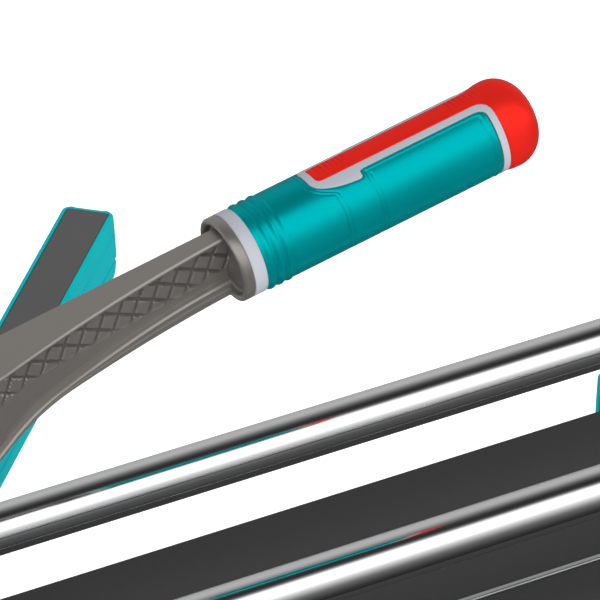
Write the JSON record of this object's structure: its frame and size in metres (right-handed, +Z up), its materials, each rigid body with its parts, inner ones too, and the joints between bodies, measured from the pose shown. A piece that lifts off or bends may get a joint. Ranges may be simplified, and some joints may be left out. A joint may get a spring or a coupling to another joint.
{
  "type": "tile cutter",
  "caption": "Manual rail tile cutter: rubber-topped base, two chrome rails, rolling carriage with lever, scoring wheel and breaking foot, swing-out support arms and a width stop.",
  "frame": {"origin": "on the table, under the middle of the base: the centre of the middle rubber foot's underside", "axes": "+X along the rails, away from the end where the carriage stands; +Y to the back, where the support arms are; +Z up"},
  "size_m": [0.88, 0.4441, 0.2713],
  "materials": {
    "painted_frame": "satin charcoal powder coat",
    "base_rubber": "matt, fine grain",
    "bare_aluminium": "brushed",
    "foot_rubber": "matt",
    "teal_paint": "satin powder coat",
    "rail_chrome": "polished hard chrome",
    "zinc_steel": "zinc plated",
    "teal_plastic": "moulded, satin",
    "arm_rubber": "matt",
    "bronze": "turned",
    "black_plastic": "moulded, fine texture",
    "wiper_felt": "felt",
    "roller_steel": "ground",
    "lever_metal": "satin metallic grey die casting",
    "grip_grey": "satin",
    "grip_teal": "soft-touch, satin",
    "grip_red": "glossy",
    "coated_carbide": "titanium nitride coated"
  },
  "bodies": {
    "base": {"base_frame": "painted_frame", "rear_pad": "base_rubber", "front_pad": "base_rubber", "breaking_ridge": "bare_aluminium", "middle_foot": "foot_rubber", "outer_feet": "foot_rubber", "left_bracket": "teal_paint", "right_bracket": "teal_paint", "rear_rail": "rail_chrome", "front_rail": "rail_chrome", "rail_caps": "teal_paint", "cap_screws": "zinc_steel", "bracket_bolts": "zinc_steel", "rail_buffers": "foot_rubber", "left_arm_bracket": "zinc_steel", "right_arm_bracket": "zinc_steel", "arm_bracket_screws": "zinc_steel", "left_arm_pin": "zinc_steel", "right_arm_pin": "zinc_steel", "fence_bar": "bare_aluminium", "fence_screws": "zinc_steel"},
    "left_arm": {"left_arm": "teal_plastic", "left_arm_pad": "arm_rubber", "left_arm_bush": "bronze", "left_arm_foot": "foot_rubber"},
    "right_arm": {"right_arm": "teal_plastic", "right_arm_pad": "arm_rubber", "right_arm_bush": "bronze", "right_arm_foot": "foot_rubber"},
    "carriage": {"carriage_body": "teal_paint", "carriage_covers": "black_plastic", "cover_screws": "zinc_steel", "roller_axles": "zinc_steel", "rail_wipers": "wiper_felt", "pivot_pin": "zinc_steel", "pivot_washers": "zinc_steel", "stop_screw": "zinc_steel", "stop_nut": "zinc_steel"},
    "rear_left_roller": {"rear_left_roller": "roller_steel"},
    "rear_right_roller": {"rear_right_roller": "roller_steel"},
    "front_left_roller": {"front_left_roller": "roller_steel"},
    "front_right_roller": {"front_right_roller": "roller_steel"},
    "lever": {"lever_arm": "lever_metal", "lever_bush": "bronze", "lever_tang": "zinc_steel", "lever_collar": "lever_metal", "grip_ring": "grip_grey", "grip_sleeve": "grip_teal", "grip_border": "grip_grey", "grip_end_ring": "grip_grey", "grip_panel": "grip_red", "grip_cap": "grip_red", "wheel_holder": "zinc_steel", "holder_screw": "black_plastic", "wheel_axle": "zinc_steel", "breaker_pin": "zinc_steel"},
    "cutting_wheel": {"cutting_wheel": "coated_carbide"},
    "breaker": {"breaker_foot": "lever_metal"},
    "width_stop": {"width_stop": "teal_paint"},
    "stop_knob": {"stop_knob": "black_plastic"}
  },
  "joints": [
    {"name": "left_arm_swing", "type": "hinge", "parent": "base", "child": "left_arm", "pos_m": [-0.3236, 0.1178, 0.02], "axis": [0, 0, 1], "range_deg": [-46.2, 43.8]},
    {"name": "right_arm_swing", "type": "hinge", "parent": "base", "child": "right_arm", "pos_m": [0.3556, 0.1178, 0.02], "axis": [0, 0, -1], "range_deg": [0, 90]},
    {"name": "carriage_slide", "type": "slide", "parent": "base", "child": "carriage", "axis": [1, 0, 0], "range_m": [-0.005, 0.63]},
    {"name": "lever_lift", "type": "hinge", "parent": "carriage", "child": "lever", "pos_m": [-0.3538, 0, 0.1318], "axis": [0, -1, 0], "range_deg": [0, 34]},
    {"name": "wheel_spin", "type": "hinge", "parent": "lever", "child": "cutting_wheel", "pos_m": [-0.39461, 0, 0.06299], "axis": [0, 1, 0], "continuous": true},
    {"name": "breaker_tilt", "type": "hinge", "parent": "lever", "child": "breaker", "pos_m": [-0.3238, 0, 0.0658], "axis": [0, 1, 0], "range_deg": [-8, 8]},
    {"name": "rear_left_roller_spin", "type": "hinge", "parent": "carriage", "child": "rear_left_roller", "pos_m": [-0.372, 0.0457, 0.1231], "axis": [0, 1, 0], "continuous": true},
    {"name": "rear_right_roller_spin", "type": "hinge", "parent": "carriage", "child": "rear_right_roller", "pos_m": [-0.34, 0.0457, 0.1231], "axis": [0, 1, 0], "continuous": true},
    {"name": "front_left_roller_spin", "type": "hinge", "parent": "carriage", "child": "front_left_roller", "pos_m": [-0.372, -0.0457, 0.1231], "axis": [0, 1, 0], "continuous": true},
    {"name": "front_right_roller_spin", "type": "hinge", "parent": "carriage", "child": "front_right_roller", "pos_m": [-0.34, -0.0457, 0.1231], "axis": [0, 1, 0], "continuous": true},
    {"name": "width_stop_slide", "type": "slide", "parent": "base", "child": "width_stop", "axis": [0, 1, 0], "range_m": [-0.12, 0.02]},
    {"name": "stop_knob_turn", "type": "hinge", "parent": "width_stop", "child": "stop_knob", "pos_m": [0.398, 0.05, 0.06], "axis": [0, 0, 1], "continuous": true}
  ],
  "couplings": [
    {"joint": "rear_left_roller_spin", "follows": "carriage_slide", "rad_per_m": 120.48},
    {"joint": "rear_right_roller_spin", "follows": "carriage_slide", "rad_per_m": 120.48},
    {"joint": "front_left_roller_spin", "follows": "carriage_slide", "rad_per_m": 120.48},
    {"joint": "front_right_roller_spin", "follows": "carriage_slide", "rad_per_m": 120.48}
  ]
}
